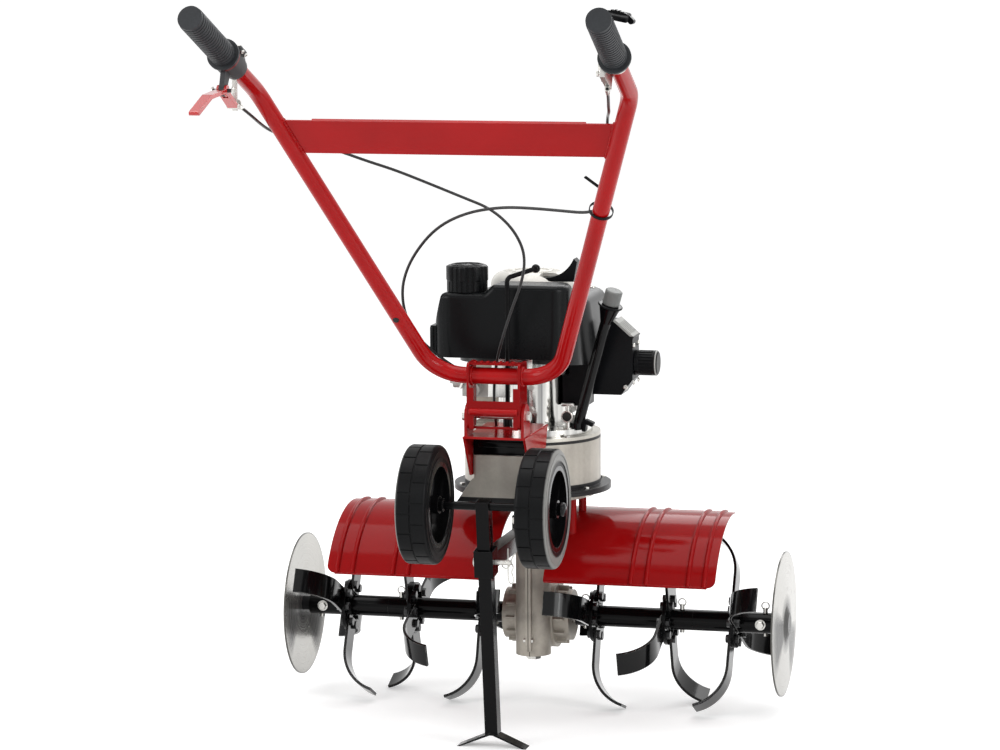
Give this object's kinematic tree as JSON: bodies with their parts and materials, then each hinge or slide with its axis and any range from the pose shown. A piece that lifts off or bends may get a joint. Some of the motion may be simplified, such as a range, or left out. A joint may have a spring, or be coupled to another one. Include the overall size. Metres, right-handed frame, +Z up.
{
  "type": "garden tiller",
  "caption": "Walk-behind petrol garden tiller: vertical-shaft engine over a worm gearbox, bent-tine rotor under a red hood, plant discs, depth bar with transport wheels and wide handlebar.",
  "frame": {"origin": "on the ground, under the middle of the overall length and width", "axes": "+Z up, +Y the way the machine drives, +X the operator's right"},
  "size_m": [0.894, 1.1147, 1.2669],
  "materials": {
    "red_paint": "gloss",
    "black_paint": "satin",
    "cast_alloy": "as cast",
    "steel": "zinc plated",
    "cast_iron": "machined",
    "bronze": "machined",
    "black_plastic": "satin",
    "grey_plastic": "satin",
    "rubber": "matt",
    "tyre": "matt"
  },
  "bodies": {
    "chassis": {"gearbox_half_left": "cast_alloy", "gearbox_half_right": "cast_alloy", "gearbox_bearings": "steel", "body_bolts": "steel", "clutch_case": "cast_alloy", "case_floor": "cast_alloy", "case_seal": "rubber", "engine_plate": "cast_alloy", "crankcase": "cast_alloy", "cylinder": "cast_alloy", "muffler": "steel", "engine_cowl": "black_plastic", "starter_cover": "grey_plastic", "starter_grip": "black_plastic", "fuel_tank": "black_plastic", "oil_tube": "black_plastic", "air_filter_box": "black_plastic", "air_filter_cover": "grey_plastic", "carburettor": "cast_alloy", "hood_left": "red_paint", "hood_right": "red_paint", "main_frame": "red_paint", "spur_holder": "black_paint", "lock_pin": "steel", "clutch_cable": "rubber", "throttle_cable": "rubber"},
    "rotor": {"output_shaft": "steel", "worm_wheel": "bronze", "inner_tine_tubes": "black_paint", "outer_tine_tubes": "black_paint", "tines_left": "black_paint", "tines_right": "black_paint", "tine_bolts": "steel", "tine_pins": "steel", "plant_disc_left": "steel", "plant_disc_right": "steel"},
    "worm": {"worm_shaft": "steel"},
    "cup": {"clutch_cup": "cast_iron"},
    "yoke": {"clutch_yoke": "steel"},
    "crank": {"crankshaft": "steel", "flywheel": "cast_alloy"},
    "handlebar": {"handlebar_tube": "red_paint", "handlebar_bracket": "red_paint", "crossbar": "red_paint", "handle_grips": "rubber", "clutch_clamp": "black_plastic", "throttle_bracket": "steel", "cable_tie": "black_plastic"},
    "clutch_handle": {"clutch_lever": "red_paint"},
    "throttle": {"throttle_lever": "black_plastic"},
    "gear_stick": {"gear_lever": "black_paint"},
    "spur": {"depth_bar": "black_paint", "wheel_axle": "black_paint"},
    "wheel_left": {"tyre_left": "tyre", "rim_left": "black_plastic"},
    "wheel_right": {"tyre_right": "tyre", "rim_right": "black_plastic"},
    "tank_cap": {"fuel_cap": "black_plastic"},
    "oil_stick": {"dipstick": "grey_plastic"},
    "filter_screw": {"filter_knob": "black_plastic"}
  },
  "joints": [
    {"name": "rotor_spin", "type": "hinge", "parent": "chassis", "child": "rotor", "pos_m": [0, 0.3987, 0.15866], "axis": [1, 0, 0], "continuous": true},
    {"name": "worm_spin", "type": "hinge", "parent": "chassis", "child": "worm", "pos_m": [0, 0.3437, 0.2], "axis": [0, 0, 1], "continuous": true},
    {"name": "clutch_cup_slide", "type": "slide", "parent": "worm", "child": "cup", "axis": [0, 0, 1], "range_m": [0, 0.0025], "stiffness_N_per_m": 370, "springref_m": 0.05},
    {"name": "clutch_yoke_tilt", "type": "hinge", "parent": "chassis", "child": "yoke", "pos_m": [0, 0.4357, 0.4105], "axis": [-1, 0, 0], "range_deg": [0, 1.56]},
    {"name": "crank_spin", "type": "hinge", "parent": "chassis", "child": "crank", "pos_m": [0, 0.3437, 0.6], "axis": [0, 0, 1], "continuous": true},
    {"name": "handlebar_tilt", "type": "hinge", "parent": "chassis", "child": "handlebar", "pos_m": [0, 0.0867, 0.558], "axis": [1, 0, 0], "range_deg": [-10, 10], "deforming": ["clutch_cable", "throttle_cable"]},
    {"name": "clutch_squeeze", "type": "hinge", "parent": "handlebar", "child": "clutch_handle", "pos_m": [-0.31, -0.4133, 1.131], "axis": [-1, 0, 0], "range_deg": [0, 25], "stiffness_Nm_per_rad": 3, "springref_deg": -17.19},
    {"name": "throttle_swing", "type": "hinge", "parent": "handlebar", "child": "throttle", "pos_m": [0.284, -0.3833, 1.162], "axis": [-1, 0, 0], "range_deg": [0, 40]},
    {"name": "gear_lever_turn", "type": "hinge", "parent": "chassis", "child": "gear_stick", "pos_m": [0.002, 0.1537, 0.6], "axis": [0, 0, 1], "range_deg": [-20, 20]},
    {"name": "depth_bar_slide", "type": "slide", "parent": "chassis", "child": "spur", "axis": [0, -0.1392, 0.9903], "range_m": [-0.06, 0]},
    {"name": "wheel_left_spin", "type": "hinge", "parent": "spur", "child": "wheel_left", "pos_m": [-0.1, -0.00823, 0.42], "axis": [1, 0, 0], "continuous": true},
    {"name": "wheel_right_spin", "type": "hinge", "parent": "spur", "child": "wheel_right", "pos_m": [0.1, -0.00823, 0.42], "axis": [1, 0, 0], "continuous": true},
    {"name": "fuel_cap_turn", "type": "hinge", "parent": "chassis", "child": "tank_cap", "pos_m": [-0.086, 0.2257, 0.76], "axis": [0, 0, 1], "range_deg": [0, 90]},
    {"name": "dipstick_turn", "type": "hinge", "parent": "chassis", "child": "oil_stick", "pos_m": [0.158, 0.2587, 0.73], "axis": [0.2898, -0.1705, 0.9418], "range_deg": [0, 90]},
    {"name": "filter_knob_turn", "type": "hinge", "parent": "chassis", "child": "filter_screw", "pos_m": [0.2, 0.3437, 0.62], "axis": [1, 0, 0], "range_deg": [-90, 90]}
  ],
  "couplings": [
    {"joint": "worm_spin", "follows": "rotor_spin", "ratio": 16},
    {"joint": "clutch_cup_slide", "follows": "clutch_squeeze", "m_per_rad": 0.0057296},
    {"joint": "clutch_yoke_tilt", "follows": "clutch_squeeze", "ratio": 0.06226}
  ]
}
